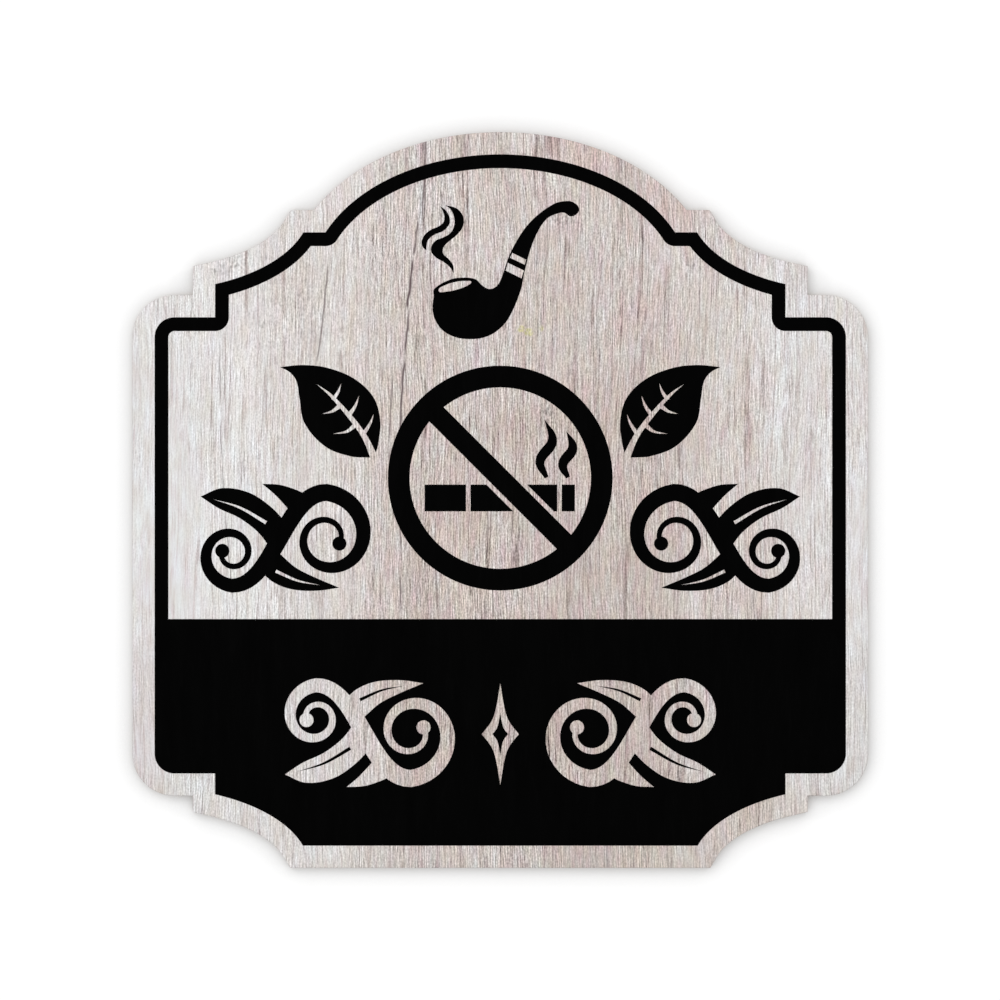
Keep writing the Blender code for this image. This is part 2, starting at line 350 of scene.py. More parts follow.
def between(edge, other_edge):
    """Outline of a shape that starts at one tip and lies between two flowing edges."""
    way_out, way_back = (flowing(side, closed=False) for side in (edge, other_edge))
    return way_out + [point for point in reversed(way_back[1:]) if point != way_out[-1]]


def ribbon(middle):
    """Outline of a ribbon along points of x, y and full width, pointed where the width is zero."""
    left, right = [], []
    for index, here in enumerate(middle):
        before, after = middle[max(index - 1, 0)], middle[min(index + 1, len(middle) - 1)]
        side = outward(before.xy, after.xy) * here.z / 2
        right.append(here.xy + side)
        if here.z > 0.0:
            left.append(here.xy - side)
    return right + left[::-1]


def stroke(stations):
    """A ribbon that flows through a few stations of x, y and full width."""
    return ribbon(flowing(stations, closed=False))


def circle(centre, radius, facets=96):
    """A round outline."""
    angles = [2 * math.pi * step / facets for step in range(facets)]
    return [centre + Vector((math.cos(angle), math.sin(angle))) * radius for angle in angles]


def placed(outline, corner, unit):
    """A drawn outline brought to its scale and its place on the board."""
    return [corner + Vector(point) * unit for point in outline]


# %% [markdown]
# ## The film of ink
#
# Printed ink is a coat a few hundredths of a millimetre thick. A film that thin still has to be a real
# closed solid: triangles in front, the same triangles behind, and a narrow wall along every free edge. Its
# back is sunk a hair into the wood, so that the two surfaces never share one plane, which would flicker.

# %% Give the print its thickness
INK_SUNK = 0.02 * MM


def print_film(name, fields):
    """The inked part of some fields as one thin closed solid on the front of the board."""
    flat, triangles = inked_triangles(fields)
    shape = bmesh.new()
    in_use = sorted({index for triangle in triangles for index in triangle})
    front, back = (
        {index: shape.verts.new((flat[index].x, depth, flat[index].y)) for index in in_use}
        for depth in (INK_FRONT, WOOD_FRONT + INK_SUNK)
    )
    edges = set()
    for triangle in triangles:
        shape.faces.new([front[index] for index in triangle])
        shape.faces.new([back[index] for index in reversed(triangle)])
        edges.update(zip(triangle, triangle[1:] + triangle[:1]))
    for start, end in edges:
        if (end, start) not in edges:
            shape.faces.new((front[end], front[start], back[start], back[end]))
    bmesh.ops.recalc_face_normals(shape, faces=shape.faces)
    film = add_object(name, shape)
    print(f"{name}: {len(film.data.polygons)} faces")
    return film


# %% [markdown]
# ## The pipe and its smoke
#
# A curved pipe stands under the arch: a silhouette, with the mouth of the bowl and two bands on the stem
# left bare. Its outline goes through points listed where the line bends, in millimetres from the
# left side and the bottom of the bowl. The smoke is two slivers, each between a right and a left edge.

# %% Print the pipe
PIPE_DROP = 73.3 * MM
PIPE_OFFSET = -26.9 * MM
PIPE_WIDTH = 58.2 * MM
PIPE_OUTLINE = (
    (0.7, 19.9), (7.3, 23.7), (12.9, 24.4), (17.2, 23.7), (19.5, 21.5), (22.3, 19.9), (25.1, 20.7),
    (27.1, 23.6), (31.2, 34.8), (38.2, 45.8), (47.7, 53.4), (53.9, 54.8), (57.2, 53.4), (58.2, 51.2),
    (56.8, 49.3), (54.6, 48.7), (53.0, 49.8), (50.9, 50.2), (45.1, 47.5), (40.0, 38.7), (36.5, 26.7),
    (35.0, 19.3), (30.3, 8.4), (25.8, 3.4), (20.6, 0.7), (14.6, 0.0), (8.7, 0.9), (3.8, 3.7), (0.8, 8.3),
    (0.0, 12.9), (0.5, 16.8),
)
PIPE_MOUTH = ((2.4, 19.2), (5.5, 21.6), (10.3, 22.9), (13.7, 23.1), (15.4, 22.7), (13.6, 21.1), (10.2, 19.8),
              (6.0, 18.9))
PIPE_BANDS = (
    ((31.7, 34.2), (30.7, 32.3), (36.6, 29.5), (37.2, 31.5)),
    ((29.9, 30.3), (29.0, 27.2), (35.3, 24.1), (36.3, 27.2)),
)
THIN_WISP = (
    ((2.9, 52.8), (5.5, 50.8), (6.9, 47.7), (6.5, 45.3), (4.4, 43.0), (0.9, 41.5), (-1.6, 39.5), (-2.3, 37.4),
     (-2.4, 35.2)),
    ((2.9, 52.8), (4.1, 50.8), (4.7, 48.6), (4.3, 46.3), (2.4, 44.7), (-0.4, 43.5), (-3.0, 41.5),
     (-4.3, 38.7), (-3.8, 36.5), (-2.4, 35.2)),
)
THICK_WISP = (
    ((5.1, 53.1), (8.9, 52.2), (11.3, 50.3), (12.4, 47.5), (11.9, 44.2), (9.6, 41.3), (6.2, 38.5),
     (4.5, 36.6), (4.2, 34.0), (6.4, 31.8), (8.2, 29.2), (8.4, 26.1)),
    ((5.1, 53.1), (7.1, 51.6), (8.4, 49.0), (8.7, 45.6), (7.4, 42.4), (4.4, 40.4), (1.3, 39.1), (-0.4, 36.8),
     (-0.3, 34.3), (1.6, 32.2), (4.6, 30.5), (7.2, 28.2), (8.4, 26.1)),
)

arch_top = max(point.y for point in border)
pipe_corner = Vector((PIPE_OFFSET, arch_top - PIPE_DROP))
pipe_unit = PIPE_WIDTH / max(x for x, _ in PIPE_OUTLINE)
pipe_fields = [(placed(flowing(PIPE_OUTLINE), pipe_corner, pipe_unit), INK)]
for outline in (flowing(PIPE_MOUTH), *PIPE_BANDS):
    pipe_fields.append((placed(outline, pipe_corner, pipe_unit), BARE))
films = [print_film("print_pipe", pipe_fields)]
for wisp_name, wisp in (("print_smoke_thin", THIN_WISP), ("print_smoke_thick", THICK_WISP)):
    films.append(print_film(wisp_name, [(placed(between(*wisp), pipe_corner, pipe_unit), INK)]))

# %% [markdown]
# ## Two leaves
#
# A leaf is a sliver between its upper and its lower edge, with a midrib and side veins left bare. The
# veins are strokes that start wide at the midrib and run out to nothing. The right leaf is the left one
# mirrored, as it would be in a stencil turned over.

# %% Print the leaves
LEAF_DROP = 118.3 * MM
LEAF_OFFSET = 49.3 * MM
LEAF_LENGTH = 51.0 * MM
LEAF_UPPER_EDGE = ((-38.1, 33.9), (-29.0, 34.7), (-19.3, 33.6), (-8.7, 29.3), (-1.0, 21.9), (1.7, 12.6),
                   (0.9, 3.5), (0.0, 0.0))
LEAF_LOWER_EDGE = ((-38.1, 33.9), (-34.3, 31.9), (-31.6, 28.4), (-30.4, 21.7), (-28.4, 11.7), (-20.2, 2.4),
                   (-10.2, -1.5), (-2.6, -2.0))
MIDRIB = ((-23.7, 27.2, 0.0), (-18.2, 22.9, 1.1), (-9.5, 13.2, 1.9), (-4.3, 5.8, 2.2), (-0.5, -2.6, 3.1))
SIDE_VEINS = (
    ((-17.2, 20.9, 1.6), (-15.0, 24.1, 1.0), (-13.8, 27.5, 0.0)),
    ((-10.9, 14.6, 1.8), (-8.3, 18.4, 1.1), (-6.7, 22.6, 0.0)),
    ((-4.9, 7.4, 1.6), (-2.3, 11.6, 1.0), (-0.9, 15.3, 0.0)),
    ((-14.6, 18.3, 1.8), (-17.5, 16.3, 1.0), (-21.4, 15.3, 0.0)),
    ((-8.6, 10.6, 1.8), (-11.7, 8.3, 1.0), (-17.2, 7.4, 0.0)),
)

leaf_foot = Vector((-LEAF_OFFSET, arch_top - LEAF_DROP))
leaf_unit = LEAF_LENGTH / (Vector(LEAF_UPPER_EDGE[0]) - Vector(LEAF_UPPER_EDGE[-1])).length
left_leaf = [(placed(between(LEAF_UPPER_EDGE, LEAF_LOWER_EDGE), leaf_foot, leaf_unit), INK)]
left_leaf += [(placed(stroke(vein), leaf_foot, leaf_unit), BARE) for vein in (MIDRIB, *SIDE_VEINS)]
right_leaf = [(mirrored(outline), colour) for outline, colour in left_leaf]
films.append(print_film("print_leaf_left", left_leaf))
films.append(print_film("print_leaf_right", right_leaf))

# %% [markdown]
# ## The sign's message
#
# A round mark says what the sign is for without a word in any language: a ring, a bar across it, and a
# burning cigarette behind the bar. The bar leaves a bare seam on both sides where it passes over the
# cigarette, or the two would run together in one colour. The mark fills the middle of the board at the
# weight of the rest of the print.

# %% Print the round mark
MARK_CENTRE = Vector((0.0, 8.7)) * MM
MARK_RADIUS = 44.6 * MM
MARK_LINE_WIDTH = 8.6 * MM
BAR_WIDTH = 8.0 * MM
BAR_SEAM = 1.7 * MM
BAR_TILT = math.radians(-45.0)
BAR_END_FACETS = 8

# The cigarette, in millimetres about the middle of the mark
CIGARETTE_BOTTOM, CIGARETTE_TOP = -13.2, -2.6
FILTER_SPAN = (-30.0, -13.6)
BODY_SPAN = (-11.8, 22.6)
EMBER_SPAN = (24.4, 29.6)
SMOKE_CURL = ((0.0, 0.0, 1.6), (-2.6, 6.6, 3.7), (2.3, 14.6, 3.7), (-0.8, 23.0, 0.0))
SMOKE_FEET = ((18.4, 0.2, 1.0), (26.9, 0.2, 0.80))


def band_across(radius, width, tilt):
    """Outline of a straight band across a circle about the mark's middle, whose ends follow the circle."""
    half_angle = math.asin(width / 2 / radius)
    outline = []
    for middle in (tilt, tilt + math.pi):
        for step in range(BAR_END_FACETS + 1):
            angle = middle - half_angle + 2 * half_angle * step / BAR_END_FACETS
            outline.append(MARK_CENTRE + Vector((math.cos(angle), math.sin(angle))) * radius)
    return outline


def cigarette_fields():
    """Filter, body and glowing end in a row, and two curls of smoke over the end."""
    outlines = []
    for left, right in (FILTER_SPAN, BODY_SPAN, EMBER_SPAN):
        outlines.append([(left, CIGARETTE_BOTTOM), (right, CIGARETTE_BOTTOM), (right, CIGARETTE_TOP),
                         (left, CIGARETTE_TOP)])
    for foot_x, foot_z, size in SMOKE_FEET:
        outlines.append(stroke([(foot_x + x * size, foot_z + z * size, width) for x, z, width in SMOKE_CURL]))
    return [(placed(outline, MARK_CENTRE, MM), INK) for outline in outlines]


inside_radius = MARK_RADIUS - MARK_LINE_WIDTH
mark_fields = [(circle(MARK_CENTRE, MARK_RADIUS), INK), (circle(MARK_CENTRE, inside_radius), BARE)]
mark_fields += cigarette_fields()
mark_fields.append((band_across(inside_radius, BAR_WIDTH + 2 * BAR_SEAM, BAR_TILT), BARE))
mark_fields.append((band_across(inside_radius + MARK_LINE_WIDTH / 2, BAR_WIDTH, BAR_TILT), INK))
films.append(print_film("print_round_mark", mark_fields))

# %% [markdown]
# ## Scrolls
#
# Sign painters fill the room beside a motif with scrolls. One scroll is a single line that winds up at
# both ends, swells in the middle and finishes in two balls, with a few leaves growing from it. The winding
# is a spiral whose radius shrinks by the same share in each turn, so its curve is a formula. The same
# scroll serves four times: in ink beside the round mark, and left bare in the black band below.

# %% Draw one scroll
SCROLL_SHRINK = 0.40  # share of the radius that is left after one turn

# Middle, radius, angle of the outer end in degrees and number of turns of each winding. All of a scroll is
# in millimetres about the middle of its room.
LARGE_WINDING = (Vector((-17.0, -0.6)), 18.2, 90.0, 1.32)
SMALL_WINDING = (Vector((20.6, -6.6)), 12.8, -90.0, 1.30)
BRIDGE_REACH = Vector((17.0, 0.0))
BRIDGE_POINTS = 24
TIP_WIDTH = 2.0
WIDEST = 7.0
SWELL = 1.6  # the higher, the shorter the wide part
BALL_RADIUS = 2.8


def volute(centre, radius, start_deg, turns, steps_per_turn=48):
    """Points of a spiral that winds inwards, anticlockwise from an angle in degrees."""
    count = round(turns * steps_per_turn)
    points = []
    for step in range(count + 1):
        turned = step / steps_per_turn
        angle = math.radians(start_deg) + 2 * math.pi * turned
        points.append(centre + Vector((math.cos(angle), math.sin(angle))) * radius * SCROLL_SHRINK ** turned)
    return points


def scroll_line():
    """The scroll's line as points with a width."""
    large, small = volute(*LARGE_WINDING), volute(*SMALL_WINDING)
    handles = large[0] + BRIDGE_REACH, small[0] - BRIDGE_REACH
    bridge = geometry.interpolate_bezier(large[0], *handles, small[0], BRIDGE_POINTS)
    path = large[::-1] + bridge[1:-1] + small
    steps = [0.0] + [(there - here).length for here, there in zip(path, path[1:])]
    along = [sum(steps[:index + 1]) / sum(steps) for index in range(len(path))]
    return [Vector((*point, TIP_WIDTH + (WIDEST - TIP_WIDTH) * math.sin(math.pi * share) ** SWELL))
            for point, share in zip(path, along)]


SCROLL_LEAVES = (
    (((33.0, 16.0), (24.5, 19.3), (14.0, 17.6), (5.5, 12.2), (-1.5, 5.0)),
     ((33.0, 16.0), (26.0, 11.4), (17.5, 7.4), (10.0, 1.6), (4.6, -5.6))),
    (((-22.0, -20.2), (-13.0, -16.4), (-5.0, -12.4), (0.6, -7.6), (4.0, -4.2)),
     ((-22.0, -20.2), (-13.0, -21.4), (-3.0, -20.8), (4.5, -17.8), (9.6, -13.0))),
    (((8.5, 21.0), (1.5, 20.6), (-5.0, 18.6), (-10.0, 16.2)),
     ((8.5, 21.0), (4.0, 17.2), (0.5, 13.6), (-3.5, 9.0))),
)
SCROLL_VEINS = (
    ((28.0, 14.9, 0.0), (17.5, 11.6, 0.9), (7.0, 5.6, 1.4)),
    ((-14.5, -19.2, 0.0), (-5.5, -17.4, 0.8), (3.2, -13.6, 1.3)),
)


def scroll_outlines():
    """The outlines of one scroll that are drawn, and those that are cut into it."""
    line = scroll_line()
    drawn = [ribbon(line)]
    drawn += [circle(end.xy, BALL_RADIUS, facets=32) for end in (line[0], line[-1])]
    drawn += [between(*leaf) for leaf in SCROLL_LEAVES]
    return drawn, [stroke(vein) for vein in SCROLL_VEINS]


def scroll_fields(centre, colour, background, upside_down=False):
    """One scroll in a colour about a place on the board, with its veins in the colour behind it."""
    drawn, cut = scroll_outlines()
    fields = [(outline, colour) for outline in drawn] + [(outline, background) for outline in cut]
    flip = -1.0 if upside_down else 1.0
    return [([centre + Vector((x, z * flip)) * MM for x, z in outline], paint) for outline, paint in fields]


print("the line of a scroll has", len(scroll_line()), "points")

# %% Print the scrolls beside the mark
SCROLL_CENTRE = Vector((85.9, -14.6)) * MM
right_scroll = scroll_fields(SCROLL_CENTRE, INK, BARE)
left_scroll = [(mirrored(outline), colour) for outline, colour in right_scroll]
films.append(print_film("print_scroll_right", right_scroll))
films.append(print_film("print_scroll_left", left_scroll))

# %% [markdown]
# ## The border line and the black band
#
# The line and the lower band are one field of ink with a window in it. The window ends level with the top
# of the band. In the band an ornament is left bare, so there the wood itself does the drawing: two
# scrolls turned upside down, and a lozenge between them.

# %% Print the line and the band
BAND_HEIGHT = 89.9 * MM
ORNAMENT_CENTRE = Vector((0.0, -92.9)) * MM
ORNAMENT_SCROLL_OFFSET = 52.5 * MM
LOZENGE = (7.4 * MM, 20.2 * MM)
LOZENGE_HEART = 0.42
LOZENGE_HOLLOW = 0.30
LOZENGE_SIDE_POINTS = 13

band_top = min(point.y for point in border) + BAND_HEIGHT
window_side = max(point.x for point in line_inside)
window = [Vector((window_side, band_top))]
window += [point for point in line_inside if point.y > band_top]
window.append(Vector((-window_side, band_top)))


def lozenge(scale):
    """An upright lozenge with hollow sides, about the middle of the ornament."""
    half_width, half_height = LOZENGE
    right, top = Vector((half_width, 0.0)), Vector((0.0, half_height))
    tips = [right, top, -right, -top]
    outline = []
    for tip, following in zip(tips, tips[1:] + tips[:1]):
        hollow = (tip + following) * LOZENGE_HOLLOW
        outline += geometry.interpolate_bezier(tip, hollow, hollow, following, LOZENGE_SIDE_POINTS)[:-1]
    return [ORNAMENT_CENTRE + point * scale for point in outline]


ornament_right = ORNAMENT_CENTRE + Vector((ORNAMENT_SCROLL_OFFSET, 0.0))
ornament = scroll_fields(ornament_right, BARE, INK, upside_down=True)
ornament += [(mirrored(outline), colour) for outline, colour in ornament]
ornament += [(lozenge(1.0), BARE), (lozenge(LOZENGE_HEART), INK)]
films.append(print_film("print_border_and_band", [(border, INK), (window, BARE), *ornament]))

# %% [markdown]
# ## Shader arithmetic
#
# A wood finish is mostly sums: a tone, plus streaks, minus cracks. In the shader editor each sum is a Math
# node, and more than a thousand of them would hide the idea. So one small class holds the output of a node
# and lets Python's own signs add the Math nodes, and one method makes every other kind of node.


# %% One class for values, one method for nodes
class Value:
    """The output of a node in a finish, which can be used in sums."""

    def __init__(self, finish, socket):
        self.finish = finish
        self.socket = socket

    def math(self, operation, *others):
        """What a Math node makes of this value and the others after it."""
        return self.finish.node("Math", {"operation": operation}, dict(enumerate((self, *others))))

    def math_after(self, operation, other):
        """What a Math node makes of another value and this one after it, as in 1 - mask."""
        return self.finish.node("Math", {"operation": operation}, {0: other, 1: self})

    def __add__(self, other):
        return self.math("ADD", other)

    def __sub__(self, other):
        return self.math("SUBTRACT", other)

    def __rsub__(self, other):
        return self.math_after("SUBTRACT", other)

    def __mul__(self, other):
        return self.math("MULTIPLY", other)

    def __truediv__(self, other):
        return self.math("DIVIDE", other)

    def __rtruediv__(self, other):
        return self.math_after("DIVIDE", other)

    def __abs__(self):
        return self.math("ABSOLUTE")

    __radd__ = __add__
    __rmul__ = __mul__

    def rising(self, start, end):
        """Zero below start, one above end and a soft S between them, or falling where end is the lower."""
        inputs = {"Value": self, "From Min": min(start, end), "From Max": max(start, end)}
        step = self.finish.node("MapRange", {"interpolation_type": "SMOOTHSTEP"}, inputs)
        return step if start < end else 1.0 - step


BUMP_DISTANCE = 0.1 * MM
MIX_FACTOR, MIX_UNDER, MIX_OVER, MIX_RESULT = 0, 6, 7, 2  # where a Mix node keeps its colour sockets


class Finish:
    """The node tree of a material or a sky, whose nodes all come from the method node."""

    def __init__(self, owner):
        owner.use_nodes = True
        self.owner = owner
        self.tree = owner.node_tree
        self.tree.nodes.clear()

    def node(self, kind, settings=None, inputs=None, output=0):
        """Makes a node, sets it up, fills or links its sockets, and gives one of its outputs."""
        made = self.tree.nodes.new("ShaderNode" + kind)
        for name, setting in (settings or {}).items():
            setattr(made, name, setting)
        for key, value in (inputs or {}).items():
            if isinstance(value, Value):
                self.tree.links.new(value.socket, made.inputs[key])
            else:
                made.inputs[key].default_value = value
        return Value(self, made.outputs[output]) if made.outputs else None

    def place(self):
        """The place on the board in metres, as three values."""
        here = self.node("TexCoord", output="Object")
        return [self.node("SeparateXYZ", inputs={"Vector": here}, output=axis) for axis in "XYZ"]

    def mix(self, amount, under, over):
        """Colour under, covered by colour over as far as amount says, and beyond either if it says so."""
        inputs = {MIX_FACTOR: amount, MIX_UNDER: under, MIX_OVER: over}
        return self.node("Mix", {"data_type": "RGBA", "clamp_factor": False}, inputs, output=MIX_RESULT)

    def tint(self, colour, strength):
        """A colour made lighter or darker by a value about one."""
        return self.node("VectorMath", {"operation": "SCALE"}, {0: colour, "Scale": strength})

    def bump(self, height, strength):
        """A normal that follows a height of a hair."""
        return self.node("Bump", inputs={"Height": height, "Strength": strength, "Distance": BUMP_DISTANCE})

    def material(self, shader):
        """Gives the shader to the material's output and hands the material over."""
        self.node("OutputMaterial", inputs={"Surface": shader})
        return self.owner


def seen(red, green, blue):
    """The colour that shows on a screen as these levels out of 255, as a shader wants it."""
    def linear(level):
        share = level / 255
        return share / 12.92 if share <= 0.04045 else ((share + 0.055) / 1.055) ** 2.4
    return (linear(red), linear(green), linear(blue), 1.0)


# %% [markdown]
# ## Wood under a thin wash
#
# The finish is built in the order in which it came about. First there is the board's own tone: cool and
# pale at the left, where the wash lies thick, darker and warmer along the middle, pale again at the right.
# Over it run streaks of every width from a hair to a finger. Each is stretched noise, long along the grain
# and narrow across it. Between them lie thin dark lines, where the year rings come up to the surface. A
# wide noise passes zero along just such lines, so they are drawn where its value is close to zero, and a
# second noise breaks them into dashes.

# %% Tone across the board
WASHED = seen(226.5, 224.6, 224.0)
SHADED = seen(200.5, 189.5, 184.0)

# Soft rises along x or z, each as its two ends in millimetres and what it adds. Where the first end is the
# higher one, it rises towards the lower values.
DARKER_FROM_LEFT = ((-105.0, -83.0, 0.18), (-70.0, -32.0, 0.80))
PALER_TO_RIGHT = ((56.0, 85.0, 0.40), (98.0, 112.0, 0.42), (122.0, 134.0, 0.14))
EVEN_UNDER_ARCH = ((78.0, 108.0, 0.7),)
DARKER_BY_HEIGHT = ((90.0, 60.0, 0.06), (60.0, 28.0, 0.22), (112.0, 126.0, 0.12))
UPPER_TONE = 0.74
PALER_FOOT = ((-118.0, -136.0, 1.0),)
PALER_FOOT_LEFT = ((10.0, -14.0, 0.22),)
FOOT_TONE = 0.10
DARKER_RIGHT_EDGE = ((122.0, 132.0, 1.0),)
DARKER_UPPER_HALF = ((0.0, 20.0, 0.14),)


def rises(value, table):
    """The sum of a table of soft rises along a value."""
    return sum(value.rising(start * MM, end * MM) * added for start, end, added in table)


def wash_shade(x, z):
    """How far the wood's darker tone shows: zero at the left edge, one along the middle."""
    left = rises(x, DARKER_FROM_LEFT)
    right = rises(x, PALER_TO_RIGHT) * (1.0 - rises(z, EVEN_UNDER_ARCH))
    by_height = rises(z, DARKER_BY_HEIGHT) + UPPER_TONE
    foot = (rises(x, PALER_FOOT_LEFT) + FOOT_TONE) * rises(z, PALER_FOOT)
    edge = rises(x, DARKER_RIGHT_EDGE) * rises(z, DARKER_UPPER_HALF)
    return (left - right) * by_height - foot * left + edge


# %% Noise along the grain
GRAIN_BENDS = (
    # width and length of a bend and how far it goes sideways, in millimetres, and the shift of its noise
    (30.0, 70.0, 5.0, 0.0),
    (6.0, 26.0, 0.6, 9.0),
)


def noise(finish, place, width, length, detail=0.0, shift=0.0):
    """Noise between about -0.5 and 0.5, stretched along the grain. Each shift gives another one."""
    x, y, z = place
    inputs = {"X": x / (width * MM) + shift, "Y": y / (width * MM), "Z": z / (length * MM)}
    where = finish.node("CombineXYZ", inputs=inputs)
    return finish.node("TexNoise", inputs={"Vector": where, "Scale": 1.0, "Detail": detail}) - 0.5


def along_the_grain(finish, place):
    """A place on the board with its x bent, so that a line of even x follows the grain."""
    x, y, z = place
    for width, length, reach, shift in GRAIN_BENDS:
        x = noise(finish, place, width, length, shift=shift) * (reach * MM) + x
    return x, y, z


# %% Streaks and ring lines
GRAIN_STREAKS = (
    # width and length of a streak in millimetres, and its strength
    (0.45, 0.8, 0.78),
    (0.45, 2.6, 0.40),
    (0.50, 60.0, 0.22),
    (1.0, 4.0, 0.13),
    (1.6, 26.0, 0.06),
    (4.0, 40.0, 0.10),
    (10.0, 60.0, 0.14),
)
STREAK_SHIFT = 3.7
CRISP_STREAKS = (
    (0.45, 5.0, 0.62),
    (0.45, 18.0, 0.32),
)
CRISP_STEP = 0.5 * MM  # a crisp streak is the change of its noise over this step sideways

RING_LINES = (
    # spacing and length of the lines, how thin, how dark, and the width and length of their dashes
    (1.4, 110.0, 0.070, 0.27, 1.2, 6.0),
    (2.5, 160.0, 0.045, 0.25, 1.8, 8.0),
    (5.5, 300.0, 0.026, 0.36, 2.4, 16.0),
)
LINES_MEAN = 0.06  # how much the lines darken the wood on average
LINE_SHIFTS = (3.1, 7.3)  # shift of the first row's noise, and how much further each next one is
DASH_SHIFTS = (50.0, 3.3)
DASH_ENDS = (-0.12, 0.10)


def streaks(finish, place):
    """All streaks together, as a value about zero."""
    x, y, z = place
    total = 0.0
    for number, (width, length, strength) in enumerate(GRAIN_STREAKS):
        total = noise(finish, place, width, length, shift=STREAK_SHIFT * number) * strength + total
    for width, length, strength in CRISP_STREAKS:
        here = noise(finish, place, width, length)
        beside = noise(finish, (x + CRISP_STEP, y, z), width, length)
        total = (here - beside) * strength + total
    return total


def ring_lines(finish, place):
    """Thin dashed lines along the grain, as one value that is zero between them."""
    total = 0.0
    for number, (spacing, length, thin, darkness, dash_width, dash_length) in enumerate(RING_LINES):
        line_shift, dash_shift = (first + further * number for first, further in (LINE_SHIFTS, DASH_SHIFTS))
        line = abs(noise(finish, place, spacing, length, shift=line_shift)).rising(thin, 0.0)
        dash = noise(finish, place, dash_width, dash_length, shift=dash_shift).rising(*DASH_ENDS)
        total = line * dash * darkness + total
    return total


print(len(GRAIN_STREAKS + CRISP_STREAKS), "kinds of streak and", len(RING_LINES), "of ring line")

# %% [markdown]
# ## Cracks, knots and flecks
#
# Noise alone looks like cloth. What makes it a board are the few marks that happen only once: drying
# cracks that run with the grain, groups of tiny knots, a fleck or two of lichen green. Each crack is given
# by its two ends and how far its middle bows, and the node tree measures how far a point lies from it. Its
# edges tremble and it breaks off here and there, both by noise. Everything else is a soft oval spot.

# %% Cracks
CRACKS = (
    # x and z of the upper end, x and z of the lower end, bow of the middle, width, darkness
    (-29.3, 147, -31, 109, 0, 0.7, 0.8),
    (-32.6, 111, -34.3, 96.6, 0, 0.66, 0.9),
    (-34.6, 96.4, -37.2, 75, 0.2, 0.74, 1.1),
    (-35.6, 78.4, -39.8, 12, -1.1, 0.74, 1.05),
    (-39.8, 17, -39.4, -47, 0, 0.55, 0.92),
    (-42.6, 51.6, -44.5, 13.9, 0, 0.6, 0.74),
    (-68.2, 95, -72.9, 52.7, 0.3, 0.6, 0.8),
    (-111.2, 65.9, -105.3, -46.5, -1.8, 0.42, 0.66),
    (-61.2, 15.8, -65.2, -27.8, 0, 0.45, 0.56),
    (-5.3, 0.8, -5.3, -22.6, 0.3, 0.5, 0.58),
    (-2.9, -31, -3, -47, 0, 0.45, 0.5),
    (7, 21, 6.2, -47, -2, 0.5, 0.62),
    (3.9, -73, 3.9, -147, 0.2, 0.6, 0.62),
    (30.8, 96.4, 30.8, 75, 0, 0.5, 0.4),
    (55.5, -3.2, 55.5, -21.8, 0, 0.45, 0.38),
    (78.9, 84.9, 78.9, 58.7, 0.3, 0.45, 0.34),
    (-14, 146.5, -14, 138, 0, 0.7, 0.5),
    (42.4, -132, 42.4, -147, 0, 0.6, 0.5),
    (53.1, -132, 53.1, -147, 0, 0.5, 0.44),
)
CRACK_TREMBLE = 0.9 * MM
CRACK_BREAKS = (-0.30, -0.06)
CRACK_TAPER = 0.12  # share of its length over which a crack runs out at either end


def cracks(finish, place):
    """All cracks as one value: zero on sound wood, up to each crack's darkness along it."""
    x, _, z = place
    tremble = noise(finish, place, width=2.0, length=5.0, shift=17.0) * CRACK_TREMBLE
    broken = noise(finish, place, width=6.0, length=12.0, shift=5.0).rising(*CRACK_BREAKS)
    total = 0.0
    for x_top, z_top, x_bottom, z_bottom, bow, width, darkness in CRACKS:
        down = (z_top * MM - z) / ((z_top - z_bottom) * MM)
        line = x_top * MM + down * ((x_bottom - x_top) * MM) + down * (1.0 - down) * (4 * bow * MM)
        aside = abs(x - line + tremble)
        ends = down.rising(0.0, CRACK_TAPER) * down.rising(1.0, 1.0 - CRACK_TAPER)
        total = aside.rising(width * MM, 0.0) * ends * darkness + total
    return total * broken


print(len(CRACKS), "cracks")

# %% Knots, dots and flecks
KNOTS = (
    # x, z, half width and half height in millimetres, darkness
    (-114, 91.2, 1.5, 1.9, 0.08), (-110.4, 92.4, 1.2, 1.6, 0.09), (-107.2, 91.6, 1.4, 1.7, 0.08),
    (-104.9, 94, 1.2, 1.7, 0.09), (-93, 96.4, 1.9, 1.6, 0.07), (-82.2, 90.4, 1.6, 2.6, 0.08),
    (-94, 70.2, 1.4, 2.4, 0.1), (20, 34.5, 4.2, 7, 0.1), (22.5, -20.6, 1.7, 2.4, 0.16),
    (99.9, -20.6, 1.4, 2.6, 0.12), (75.7, 93.6, 2.2, 1.8, 0.08), (25, 112, 4.5, 2.6, 0.08),
)
MOTTLED = (
    # places where the grain breaks up into dots: x, z, half width, half height, strength
    (-84, 74, 22, 24, 0.42), (-106, 93, 14, 6, 0.55), (-57, 64, 12, 15, 0.28),
    (22, 34, 9, 14, 0.5), (24, 112, 9, 5, 0.6), (76, 93, 9, 6, 0.45),
    (60, -8, 22, 16, 0.22), (60.5, 92, 4.5, 4, 0.5), (-20, 66, 16, 8, 0.22),
)
LICHEN_FLECKS = (
    # x, z, half width, half height, strength
    (8.3, 67.9, 1.5, 1.5, 0.4), (11.3, 66.6, 2, 1.7, 0.42), (16.2, 68.2, 1.2, 1.5, 0.22),
)
SPOT_FADE = (1.4, 0.1)  # where a spot starts and where it is full, as the square of its radius


def spots(x, z, table):
    """Soft oval spots from a table of x, z, half width, half height and strength, as one value."""
    total = 0.0
    for spot_x, spot_z, half_width, half_height, strength in table:
        across = (x - spot_x * MM) / (half_width * MM)
        up = (z - spot_z * MM) / (half_height * MM)
        total = (across * across + up * up).rising(*SPOT_FADE) * strength + total
    return total


